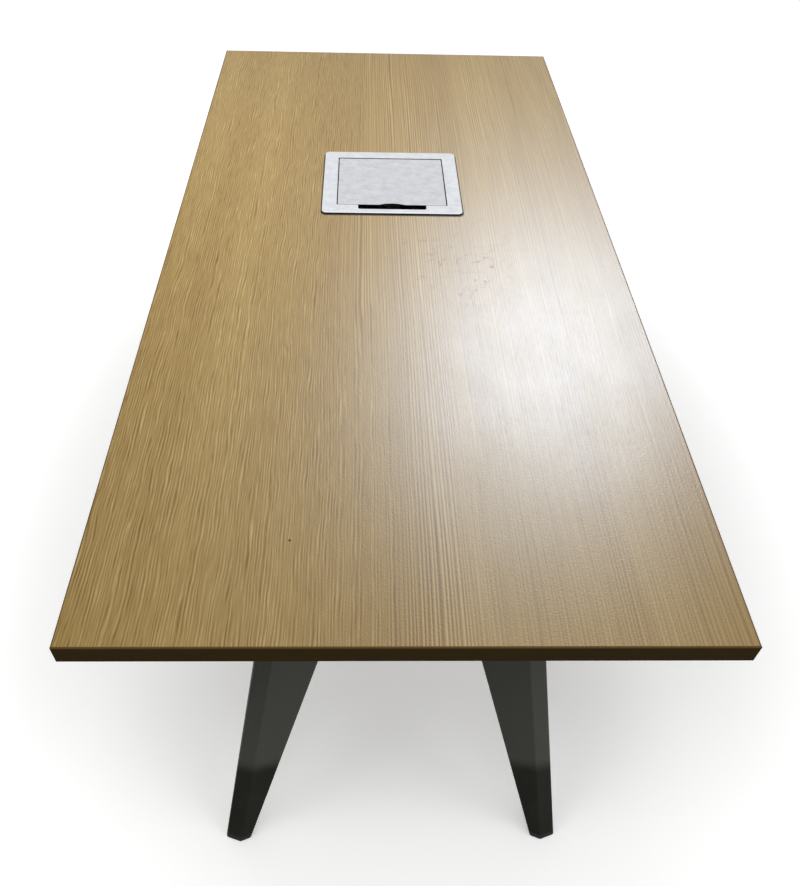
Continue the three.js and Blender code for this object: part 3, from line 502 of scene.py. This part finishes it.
def oak_grain(oak):
    """The colour and the pores of a veneer: straight grain on the right, flamed grain on the left."""
    zone = oak.total(oak.axis("X"), oak.swing(oak.noise(ZONE_GRAIN), ZONE_SWING))
    flamed = oak.between(zone, FLAMED_FROM, FLAMED_TO, 1.0, 0.0)
    wander = oak.swing(oak.noise(WANDER_GRAIN), WANDER_SWING)
    jitter = oak.swing(oak.noise(JITTER_GRAIN), JITTER_SWING)
    sway = oak.times(flamed, oak.swing(oak.noise(SWAY_GRAIN), SWAY_SWING))
    place = oak.moved_across(oak.total(wander, jitter, sway))
    across = oak.axis("X", place)

    lively = oak.between(oak.noise(LIVELY_GRAIN, detail=1.0), *LIVELY_SPAN, LIVELY_LEAST, 1.0)
    lively = oak.times(lively, oak.between(zone, CALM_FROM, CALM_TO, 1.0, CALM_LEVEL))
    rings = oak.times(lively, oak.swing(oak.stripes(across, RING_PITCH), RING_SWING))
    long_noise = oak.noise(LONG_FIBRE_GRAIN, harshness=LONG_FIBRE_HARSHNESS, place=place)
    straight = oak.total(rings, oak.swing(long_noise, LONG_FIBRE_SWING))

    strokes = oak.between(oak.noise(STROKE_GRAIN, place=place), *STROKE_SPAN, STROKE_LEAST, 1.0)
    flames = oak.times(strokes, oak.swing(oak.stripes(across, FLAME_PITCH), FLAME_SWING))
    short_noise = oak.noise(SHORT_FIBRE_GRAIN, harshness=SHORT_FIBRE_HARSHNESS, place=place)
    wavy = oak.total(flames, oak.swing(short_noise, SHORT_FIBRE_SWING))

    leaves = oak.swing(oak.noise(LEAF_GRAIN, place=place), LEAF_SWING)
    wood = oak.ramp(oak.total(0.5, leaves, oak.mix(flamed, straight, wavy)), OAK_TONES)
    pores = oak.between(oak.noise(PORE_GRAIN, detail=1.0, place=place), *PORE_SPAN)
    return oak.blend(oak.times(pores, PORE_SHARE), wood, PORE_TONE), pores


def oak_marks(oak, wood):
    """The colour with its signs of use and a painted shade along the frame of the wire box, and how dull
    those are.
    """
    contour = oak.math("ABSOLUTE", oak.less(oak.noise(CREASE_GRAIN), 0.5))
    hairlines = oak.between(contour, 0.0, CREASE_SPREAD, 1.0, 0.0)
    broken = oak.between(oak.noise(BREAK_GRAIN, detail=1.0), *BREAK_SPAN)
    scuffed = oak.times(oak.near(SCUFF_PLACE, SCUFF_REACH), oak.times(hairlines, broken))
    wood = oak.blend(oak.times(scuffed, SCUFF_SHARE), wood, SCUFF_TONE)
    speck = oak.between(oak.near(SPECK_PLACE, SPECK_RADIUS), *SPECK_SPAN)
    wood = oak.blend(speck, wood, SPECK_TONE)
    dent = oak.between(oak.near(DENT_PLACE, DENT_RADIUS), *DENT_SPAN)
    wood = oak.blend(oak.times(dent, DENT_SHARE), wood, DENT_TONE)
    # Painted shade: a dark band on the oak round the frame of the wire box, shifted towards its front, which
    # also dulls the sheen there
    low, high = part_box("box_bezel")
    middle = (low + high) / 2 - Vector((0, FRAME_SHADE_SHIFT, 0))
    aside = oak.outside(middle.xy, (high - low).xy / 2, BEZEL_CORNER)
    frame_shade = oak.between(aside, FRAME_SHADE_CORE, FRAME_SHADE_WIDTH, FRAME_SHADE_SHARE, 0.0)
    wood = oak.blend(frame_shade, wood, FRAME_SHADE_TONE)
    return wood, oak.math("MAXIMUM", frame_shade, oak.times(scuffed, SCUFF_DULLNESS))


def oak_laminate():
    oak = Finish("oak_laminate", OAK_SPECULAR)
    wood, pores = oak_grain(oak)
    wood, dull = oak_marks(oak, wood)
    back = oak.ramp(oak.noise(BACK_GRAIN), BACK_TONES)
    facing = oak.axis("Z", oak.node("ShaderNodeNewGeometry").outputs["Normal"])
    colour = oak.blend(oak.between(facing, *UNDERSIDE_SPAN, 1.0, 0.0), wood, back)
    smears = oak.swing(oak.noise(SMEAR_GRAIN), SMEAR_SWING)
    dullness = oak.total(oak.times(pores, PORE_DULLNESS), oak.times(dull, MARK_AND_SHADE_DULLNESS))
    relief = oak.less(oak.noise(EMBOSS_GRAIN), oak.times(pores, PORE_RELIEF))
    normal = oak.bump(relief, EMBOSS_DEPTH, EMBOSS_STRENGTH)
    return oak.finish(colour, oak.total(OAK_ROUGHNESS, smears, dullness), normal)


def edge_band():
    band = Finish("dark_band", BAND_SPECULAR)
    along = band.noise(BAND_GRAIN, detail=3.0)
    tone = band.ramp(along, BAND_TONES)
    rubs = band.between(band.noise(BAND_RUB_GRAIN, detail=3.0), *BAND_RUB_SPAN)
    tone = band.blend(band.times(rubs, BAND_RUB_SHARE), tone, BAND_RUB_TONE)
    # Painted highlight: lighter along the band's upper arris
    arris_highlight = band.between(band.axis("Z"), TOP_Z - ARRIS_HIGHLIGHT_DEPTH, TOP_Z, 0.0, ARRIS_HIGHLIGHT_SHARE)
    tone = band.blend(arris_highlight, tone, ARRIS_HIGHLIGHT_TONE)
    roughness = band.between(along, *BAND_SPAN, *BAND_ROUGHNESS)
    return band.finish(tone, roughness, band.bump(along, BAND_DEPTH, BAND_STRENGTH))


def powder_coat(name, upper, lower, specular):
    """Satin powder coat: orange peel, faint cloudiness, rubbed marks, and another tone low down, on the legs
    a painted reflection of shaded floor.
    """
    paint = Finish(name, specular)
    # Painted reflection: darker low down on the legs, standing in for the shaded floor that they reflect
    outward = paint.less(paint.math("ABSOLUTE", paint.axis("Y")), REFLECTION_EDGE_REACH)
    height = paint.less(paint.axis("Z"), paint.times(outward, REFLECTION_EDGE_LEAN))
    low = paint.between(height, REFLECTION_EDGE_HEIGHT - REFLECTION_EDGE_BLUR, REFLECTION_EDGE_HEIGHT + REFLECTION_EDGE_BLUR, 1.0, 0.0)
    tone = paint.blend(low, upper, lower)
    clouds = paint.noise(CLOUD_GRAIN, detail=4.0, harshness=0.6)
    tone = paint.blend(paint.between(clouds, *CLOUD_SPAN, 0.0, CLOUD_SHARE), tone, CLOUD_TONE)
    rubs = paint.between(paint.noise(PAINT_RUB_GRAIN), *PAINT_RUB_SPAN)
    tone = paint.blend(paint.times(rubs, PAINT_RUB_SHARE), tone, PAINT_RUB_TONE)
    cloudiness = paint.swing(clouds, PAINT_ROUGHNESS_SWING)
    roughness = paint.total(PAINT_ROUGHNESS, cloudiness, paint.times(rubs, PAINT_RUB_DULLNESS))
    return paint.finish(tone, roughness, paint.bump(paint.noise(PEEL_GRAIN), PEEL_DEPTH, PEEL_STRENGTH))


def shade(tone, factor):
    """A colour made darker or lighter, no further than full."""
    return (*(min(channel * factor, 1.0) for channel in tone[:3]), 1.0)


def satin_metal(name, node, tone, brush, roughness, scuff_share, rim_depth):
    """Anodised aluminium of a node, brushed along one axis, with cloudy wear and short scuffs.

    The rim of its top face gets a painted highlight, and the sides below the rim get painted shade.
    """
    face_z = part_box(node)[1].z
    metal = Finish(name, metallic=1.0)
    lines = metal.noise(brush, detail=3.0, harshness=0.7)
    clouds = metal.noise(METAL_CLOUD_GRAIN, detail=5.0, harshness=0.65)
    wear = metal.total(metal.swing(lines, BRUSH_SWING), clouds)
    tones = (shade(tone, METAL_DARK), tone, shade(tone, METAL_LIGHT))
    colour = metal.ramp(wear, tuple(zip(METAL_STOPS, tones)))
    scuffs = metal.between(metal.noise(METAL_SCUFF_GRAIN, detail=4.0, harshness=0.7), *METAL_SCUFF_SPAN)
    colour = metal.blend(metal.times(scuffs, scuff_share), colour, METAL_SCUFF_TONE)
    height = metal.axis("Z")
    facing = metal.axis("Z", metal.node("ShaderNodeTexCoord").outputs["Normal"])
    exposed = metal.between(facing, *EXPOSED_SPAN)
    # Painted highlight along the rim of the top face
    rim = metal.between(height, face_z - RIM_BLUR, face_z - RIM_BLUR / 2, RIM_HIGHLIGHT_SHARE, 0.0)
    colour = metal.blend(metal.times(rim, exposed), colour, RIM_HIGHLIGHT_TONE)
    # Painted shade on the sides below the rim
    side_shade = metal.between(height, face_z - rim_depth - RIM_BLUR, face_z - rim_depth, 1.0, 0.0)
    colour = metal.blend(metal.times(side_shade, exposed), colour, SIDE_SHADE_TONE)
    cloudiness = metal.swing(clouds, METAL_CLOUD_ROUGHNESS_SWING)
    rough = metal.total(roughness, cloudiness, metal.swing(lines, BRUSH_ROUGHNESS_SWING))
    return metal.finish(colour, rough, metal.bump(lines, BRUSH_DEPTH, BRUSH_STRENGTH))


def zinc_plate():
    zinc = Finish("zinc_steel", metallic=1.0)
    spangle = zinc.noise(SPANGLE_GRAIN, detail=3.0)
    roughness = zinc.between(spangle, *SPANGLE_SPAN, *ZINC_ROUGHNESS)
    normal = zinc.bump(spangle, SPANGLE_DEPTH, SPANGLE_STRENGTH)
    return zinc.finish(zinc.ramp(spangle, ZINC_TONES), roughness, normal)


def moulded(name, dark, light, grain, roughness, specular):
    """Moulded plastic or rubber, between two tones and two roughnesses."""
    plastic = Finish(name, specular)
    sparks = plastic.noise(grain)
    bloom = plastic.noise(BLOOM_GRAIN, detail=4.0, harshness=0.6)
    mottle = plastic.total(bloom, plastic.swing(sparks, SPARK_SWING))
    tone = plastic.ramp(mottle, tuple(zip(BLOOM_STOPS, (dark, light))))
    rough = plastic.between(sparks, *SPARK_SPAN, *roughness)
    return plastic.finish(tone, rough, plastic.bump(sparks, SPARK_DEPTH, SPARK_STRENGTH))


finishes = {
    "oak_laminate": oak_laminate(),
    "dark_band": edge_band(),
    "graphite_paint": powder_coat("graphite_paint", PAINT_TONE, PAINT_REFLECTED_SHADE_TONE, PAINT_SPECULAR),
    "black_sheet": powder_coat("black_sheet", SHEET_TONE, SHEET_TONE, SHEET_SPECULAR),
    "zinc_steel": zinc_plate(),
    "satin_aluminium": satin_metal(
        "satin_aluminium", "box_bezel", BEZEL_TONE,
        BEZEL_BRUSH, BEZEL_ROUGHNESS, BEZEL_SCUFF_SHARE, BEZEL_RIM),
    "brushed_aluminium": satin_metal(
        "brushed_aluminium", "box_lid", LID_TONE,
        LID_BRUSH, LID_ROUGHNESS, LID_SCUFF_SHARE, LID_RIM),
    **{name: moulded(name, **looks) for name, looks in MOULDINGS.items()},
}


# Edges: the solids keep their shape, with welded corners, smooth rounds and small softened arrises

def smoothing_group():
    group = bpy.data.node_groups.new("smooth_rounds", "GeometryNodeTree")
    group.interface.new_socket("Geometry", in_out="INPUT", socket_type="NodeSocketGeometry")
    group.interface.new_socket("Geometry", in_out="OUTPUT", socket_type="NodeSocketGeometry")
    nodes = group.nodes
    links = group.links
    start = nodes.new("NodeGroupInput")
    bare = nodes.new("GeometryNodeRemoveAttribute")
    bare.inputs["Name"].default_value = "custom_normal"
    weld = nodes.new("GeometryNodeMergeByDistance")
    weld.inputs["Distance"].default_value = WELD_DISTANCE
    faces = nodes.new("GeometryNodeSetShadeSmooth")
    faces.domain = "FACE"
    angle = nodes.new("GeometryNodeInputMeshEdgeAngle")
    shallow = nodes.new("FunctionNodeCompare")
    shallow.operation = "LESS_THAN"
    shallow.inputs["B"].default_value = math.radians(SMOOTH_ANGLE)
    edges = nodes.new("GeometryNodeSetShadeSmooth")
    edges.domain = "EDGE"
    end = nodes.new("NodeGroupOutput")
    links.new(start.outputs[0], bare.inputs["Geometry"])
    links.new(bare.outputs["Geometry"], weld.inputs["Geometry"])
    links.new(weld.outputs["Geometry"], faces.inputs["Geometry"])
    links.new(faces.outputs["Geometry"], edges.inputs["Geometry"])
    links.new(angle.outputs["Unsigned Angle"], shallow.inputs["A"])
    links.new(shallow.outputs["Result"], edges.inputs["Shade Smooth"])
    links.new(edges.outputs["Geometry"], end.inputs[0])
    return group


smooth_rounds = smoothing_group()


def smooth(piece):
    piece.modifiers.new("smooth rounds", "NODES").node_group = smooth_rounds


def soften(piece, width):
    smooth(piece)
    bevel = piece.modifiers.new("arris", "BEVEL")
    bevel.width = width
    bevel.segments = BEVEL_STEPS
    bevel.limit_method = "ANGLE"
    bevel.angle_limit = math.radians(BEVEL_ANGLE)
    bevel.use_clamp_overlap = True
    bevel.miter_outer = "MITER_ARC"
    weigh = piece.modifiers.new("even shading", "WEIGHTED_NORMAL")
    weigh.keep_sharp = True


def dress_nodes():
    for entry in frame["record"]["subparts"]:
        slot = entry["material_slot"]
        piece = frame["nodes"][entry["node"]]
        piece.data.materials.clear()
        piece.data.materials.append(finishes[slot])
        soften(piece, ARRIS_WIDTHS[slot])


# Pieces that the solids leave to the looks

def mesh_piece(name, build, slot, body="root"):
    mesh = bpy.data.meshes.new(name)
    build.to_mesh(mesh)
    build.free()
    mesh.materials.append(finishes[slot])
    piece = bpy.data.objects.new(name, mesh)
    bpy.context.scene.collection.objects.link(piece)
    smooth(piece)
    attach(piece, body)


def skin(build, first, second):
    """Faces between two closed rows of the same number of points."""
    for i in range(len(first)):
        beside = (i + 1) % len(first)
        build.faces.new((first[i], first[beside], second[beside], second[i]))


def round_row(build, place, radius, depth):
    turns = (2 * math.pi * side / SCREW_SIDES for side in range(SCREW_SIDES))
    return [build.verts.new(place + Vector((radius * math.cos(turn), radius * math.sin(turn), -depth)))
            for turn in turns]


def cross_row(build, place, size, depth):
    """The corners of a cross recess, at a share of its full size."""
    arm = size * RECESS_LENGTH / 2
    half = size * RECESS_WIDTH / 2
    row = []
    for number in range(RECESS_ARMS):
        turn = Matrix.Rotation(2 * math.pi * number / RECESS_ARMS, 3, "Z")
        for corner in ((arm, -half, -depth), (arm, half, -depth), (half, half, -depth)):
            row.append(build.verts.new(place + turn @ Vector(corner)))
    return row


def pan_head(place):
    """The head of a pan-head screw that hangs under a face, with a tapered cross recess."""
    build = bmesh.new()
    rows = [round_row(build, place, SCREW_RADIUS, 0.0)]
    for step in range(SCREW_STEPS + 1):
        turn = math.pi / 2 * step / SCREW_STEPS
        radius = CROWN_RADIUS + (SCREW_RADIUS - CROWN_RADIUS) * math.cos(turn)
        depth = SCREW_WALL + (SCREW_HEIGHT - SCREW_WALL) * math.sin(turn)
        rows.append(round_row(build, place, radius, depth))
    build.faces.new(rows[0])
    for upper, lower in zip(rows, rows[1:]):
        skin(build, upper, lower)
    mouth = cross_row(build, place, 1.0, SCREW_HEIGHT)
    bottom = cross_row(build, place, RECESS_TAPER, SCREW_HEIGHT - RECESS_DEPTH)
    skin(build, mouth, bottom)
    build.faces.new(bottom)
    rims = [edge for edge in build.edges if len(edge.link_faces) == 1]
    bmesh.ops.triangle_fill(build, use_beauty=True, edges=rims)
    bmesh.ops.recalc_face_normals(build, faces=build.faces)
    return build


def add_screws():
    low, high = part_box("cable_tray")
    flange_z = high.z - TRAY_SHEET
    for end, y in zip(ENDS, (low.y + TRAY_SCREW_INSET, high.y - TRAY_SCREW_INSET)):
        for side, x in zip(SIDES, (-TRAY_SCREW_X, TRAY_SCREW_X)):
            mesh_piece(f"tray_screw_{end}_{side}", pan_head(Vector((x, y, flange_z))), "zinc_steel")
    for side in SIDES:
        low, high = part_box(f"rail_{side}")
        for number, y in enumerate(RAIL_SCREW_PLACES, 1):
            place = Vector(((low.x + high.x) / 2, y, low.z))
            mesh_piece(f"rail_screw_{side}_{number}", pan_head(place), "zinc_steel")


def section_loop(node, height):
    """The outer outline of a node cut level at a height, as points in order."""
    build = bmesh.new()
    build.from_mesh(frame["nodes"][node].data)
    bmesh.ops.remove_doubles(build, verts=build.verts, dist=WELD_DISTANCE)
    geometry = build.verts[:] + build.edges[:] + build.faces[:]
    made = bmesh.ops.bisect_plane(build, geom=geometry, plane_co=(0, 0, height), plane_no=(0, 0, 1))
    edges = [item for item in made["geom_cut"] if isinstance(item, bmesh.types.BMEdge)]
    follows = {}
    for edge in edges:
        for vert in edge.verts:
            follows.setdefault(vert, []).append(edge.other_vert(vert))
    loops = []
    left = set(follows)
    while left:
        start = min(left, key=lambda vert: tuple(vert.co))
        loop = [start]
        left.discard(start)
        while True:
            onward = [vert for vert in follows[loop[-1]] if vert in left]
            if not onward:
                break
            loop.append(onward[0])
            left.discard(onward[0])
        loops.append([vert.co.copy() for vert in loop])
    build.free()
    return max(loops, key=lambda loop: sum((a - b).length for a, b in zip(loop, loop[1:])))


def evenly(loop, step):
    """Points along a closed outline, about one step apart."""
    corners = loop + loop[:1]
    whole = sum((b - a).length for a, b in zip(corners, corners[1:]))
    count = round(whole / step)
    points = []
    passed = 0.0
    for a, b in zip(corners, corners[1:]):
        length = (b - a).length
        while len(points) < count and len(points) * whole / count <= passed + length:
            share = (len(points) * whole / count - passed) / length
            points.append(a.lerp(b, share))
        passed += length
    return points


def weld_bead(node):
    """A rippled bead in the corner between a leg and the plate on its head."""
    plate_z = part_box(node)[1].z - HEAD_PLATE
    loop = evenly(section_loop(node, plate_z - BEAD_DROP), BEAD_STEP)
    up = Vector((0, 0, 1))
    turns = [2 * math.pi * side / BEAD_SIDES for side in range(BEAD_SIDES)]
    build = bmesh.new()
    rings = []
    for i, point in enumerate(loop):
        along = (loop[(i + 1) % len(loop)] - loop[i - 1]).normalized()
        aside = along.cross(up)
        radius = BEAD_RADIUS + BEAD_RIPPLE * math.sin(2 * math.pi * i * BEAD_STEP / BEAD_PITCH)
        centre = Vector((point.x, point.y, plate_z))
        rings.append([build.verts.new(centre + radius * (math.cos(turn) * aside + math.sin(turn) * up))
                      for turn in turns])
    for ring, onward in zip(rings, rings[1:] + rings[:1]):
        skin(build, ring, onward)
    bmesh.ops.recalc_face_normals(build, faces=build.faces)
    return build


def add_welds():
    for end in ENDS:
        for side in SIDES:
            mesh_piece(f"leg_weld_{end}_{side}", weld_bead(f"leg_{end}_{side}"), "graphite_paint")


# Camera, light and stage

def add_camera():
    pitch, yaw, roll = (math.radians(angle) for angle in (CAMERA_PITCH, CAMERA_YAW, CAMERA_ROLL))
    forward = Vector((math.sin(yaw) * math.cos(pitch), math.cos(yaw) * math.cos(pitch), -math.sin(pitch)))
    level = Vector((math.cos(yaw), -math.sin(yaw), 0))
    below = forward.cross(level)
    right = math.cos(roll) * level + math.sin(roll) * below
    up = math.sin(roll) * level - math.cos(roll) * below
    data = bpy.data.cameras.new("camera")
    data.sensor_fit = "VERTICAL"
    data.sensor_height = SENSOR_MM
    data.lens = FOCAL_PIXELS * SENSOR_MM / IMAGE_HEIGHT
    data.shift_x = (IMAGE_WIDTH / 2 - IMAGE_CENTRE[0]) / IMAGE_HEIGHT
    data.shift_y = -(IMAGE_HEIGHT / 2 - IMAGE_CENTRE[1]) / IMAGE_HEIGHT
    camera = bpy.data.objects.new("camera", data)
    turn = Matrix((right, up, -forward)).transposed().to_4x4()
    camera.matrix_world = Matrix.Translation(CAMERA_PLACE) @ turn
    bpy.context.scene.collection.objects.link(camera)
    bpy.context.scene.camera = camera


def add_lamp(name, place, aim, size, power):
    data = bpy.data.lights.new(name, "AREA")
    data.shape = "RECTANGLE"
    data.size, data.size_y = size
    data.energy = power
    lamp = bpy.data.objects.new(name, data)
    lamp.location = place
    lamp.rotation_euler = (aim - place).to_track_quat("-Z", "Y").to_euler()
    lamp.visible_camera = False
    bpy.context.scene.collection.objects.link(lamp)
    return lamp


def light_only(lamp, nodes):
    """Lets a lamp light a few of the nodes, and nothing else."""
    lit = bpy.data.collections.new(f"lit_by_{lamp.name}")
    for node in nodes:
        lit.objects.link(frame["nodes"][node])
    lamp.light_linking.receiver_collection = lit


def add_overhead(name):
    data = bpy.data.lights.new(f"overhead_{name}", "SUN")
    data.energy = OVERHEAD_LEVELS[name]
    data.angle = math.radians(OVERHEAD_ANGLE)
    overhead = bpy.data.objects.new(data.name, data)
    overhead.rotation_euler = (math.radians(OVERHEAD_TILT), math.radians(OVERHEAD_LEANS[name]), 0)
    overhead.visible_glossy = False
    bpy.context.scene.collection.objects.link(overhead)


def add_lamps():
    for name in OVERHEAD_LEVELS:
        add_overhead(name)
    fill = add_lamp("fill", FILL_PLACE, FILL_AIM, FILL_SIZE, FILL_POWER)
    window = add_lamp("window", WINDOW_PLACE, WINDOW_AIM, WINDOW_SIZE, WINDOW_POWER)
    panel = add_lamp("panel", PANEL_PLACE, PANEL_AIM, PANEL_SIZE, PANEL_POWER)
    fill.visible_glossy = False
    window.visible_diffuse = False
    window.data.color = WINDOW_COLOUR
    light_only(window, ["table_top"])
    light_only(panel, [f"leg_{end}_{side}" for end in ENDS for side in SIDES])


def seen_directly(tree):
    """One for rays from the camera, a reflection or a clear body, and zero for rays that only light."""
    rays = tree.nodes.new("ShaderNodeLightPath")
    seen = rays.outputs["Is Camera Ray"]
    for kind in ("Is Glossy Ray", "Is Transmission Ray"):
        either = tree.nodes.new("ShaderNodeMath")
        either.operation = "MAXIMUM"
        tree.links.new(seen, either.inputs[0])
        tree.links.new(rays.outputs[kind], either.inputs[1])
        seen = either.outputs["Value"]
    return seen


def add_sky():
    world = bpy.data.worlds.new("sky")
    bpy.context.scene.world = world
    world.use_nodes = True
    tree = world.node_tree
    level = tree.nodes.new("ShaderNodeMapRange")
    level.inputs["To Min"].default_value = SKY_LEVEL
    level.inputs["To Max"].default_value = BACKGROUND_LEVEL
    background = tree.nodes["Background"]
    background.inputs["Color"].default_value = WHITE
    tree.links.new(seen_directly(tree), level.inputs["Value"])
    tree.links.new(level.outputs["Result"], background.inputs["Strength"])


def add_floor():
    mesh = bpy.data.meshes.new("floor")
    corners = [(-FLOOR_HALF, -FLOOR_HALF, 0), (FLOOR_HALF, -FLOOR_HALF, 0),
               (FLOOR_HALF, FLOOR_HALF, 0), (-FLOOR_HALF, FLOOR_HALF, 0)]
    mesh.from_pydata(corners, [], [(0, 1, 2, 3)])
    plain = Finish("floor", specular=0.0)
    plain.shader.inputs["Emission Color"].default_value = WHITE
    # Painted shade: near the table the floor glows less than further out
    lift = plain.between(plain.distance(FLOOR_MIDDLE), LIFT_START, LIFT_END, FLOOR_SHADED_LIFT, BACKDROP_LIFT)
    plain.feed(plain.shader.inputs["Emission Strength"], plain.times(seen_directly(plain.tree), lift))
    mesh.materials.append(plain.finish(FLOOR_COLOUR, FLOOR_ROUGHNESS))
    floor = bpy.data.objects.new("floor", mesh)
    bpy.context.scene.collection.objects.link(floor)


add_camera()
dress_nodes()
add_screws()
add_welds()
add_lamps()
add_sky()
add_floor()
bpy.context.scene.view_settings.view_transform = "Standard"
